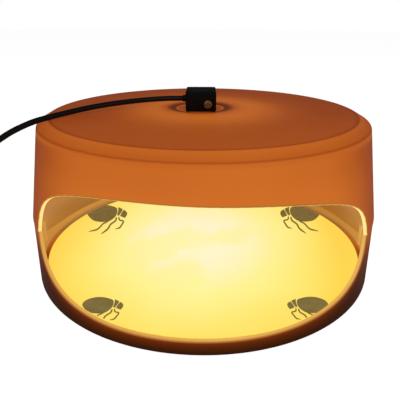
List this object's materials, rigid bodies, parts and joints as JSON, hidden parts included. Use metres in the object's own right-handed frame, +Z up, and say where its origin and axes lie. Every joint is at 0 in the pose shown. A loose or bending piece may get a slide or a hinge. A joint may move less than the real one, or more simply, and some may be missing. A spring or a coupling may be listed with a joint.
{
  "type": "plug-in flea trap",
  "caption": "Round amber plug-in flea trap: a drum lit from inside by a small lamp, over a removable sticky disc, with a wide front mouth and a cord with a plug.",
  "frame": {"origin": "on the floor under the middle of the drum", "axes": "+Z up, the mouth faces -Y, the cord leaves towards -X"},
  "size_m": [0.3159, 0.2354, 0.1133],
  "materials": {
    "amber": "translucent amber moulding, satin gloss, glows from the lamp inside",
    "dark_amber": "the same translucent amber moulding, darker because less lamp light reaches it",
    "rubber": "matte black rubber",
    "card": "yellow coated card",
    "glue": "clear sticky film on the yellow card, wet gloss, with printed olive flea marks",
    "black_plastic": "fine-grained black plastic",
    "brass": "plain brass",
    "zinc": "zinc-plated steel",
    "phenolic": "dark phenolic moulding",
    "fibre": "pressed fibre board",
    "nickel": "nickel-plated sheet",
    "bulb_glass": "clear lamp glass",
    "tungsten": "lead wires and filament",
    "cord_pvc": "black flexible plastic cord and moulded plug, slightly satin"
  },
  "bodies": {
    "base": {"base_tray": "dark_amber", "rubber_foot_1": "rubber", "rubber_foot_2": "rubber", "rubber_foot_3": "rubber", "rubber_foot_4": "rubber", "cord_coil": "cord_pvc", "coil_tie": "black_plastic", "cord_tail": "cord_pvc", "plug_relief": "cord_pvc", "plug_body": "cord_pvc", "plug_blade_left": "brass", "plug_blade_right": "brass"},
    "cover": {"cover": "amber", "lampholder_block": "black_plastic", "block_screw": "brass", "cord_gland": "black_plastic", "stem": "zinc", "stem_washer": "zinc", "stem_nut": "brass", "lampholder_body": "phenolic", "holder_insulator": "fibre", "screw_shell": "brass", "centre_contact": "brass", "cord_lead": "cord_pvc"},
    "sticky_disc": {"disc_card": "card", "glue_film": "glue"},
    "bulb": {"bulb_cap": "nickel", "cap_insulator": "phenolic", "cap_tip": "nickel", "bulb_glass": "bulb_glass", "filament": "tungsten"}
  },
  "joints": [
    {"name": "cover_lift", "type": "slide", "parent": "base", "child": "cover", "axis": [0, 0, 1], "range_m": [0, 0.07]},
    {"name": "disc_lift", "type": "slide", "parent": "base", "child": "sticky_disc", "axis": [0, 0, 1], "range_m": [0, 0.005]},
    {"name": "bulb_turn", "type": "hinge", "parent": "cover", "child": "bulb", "pos_m": [0, 0, 0.0748], "axis": [0, 0, 1], "continuous": true}
  ]
}
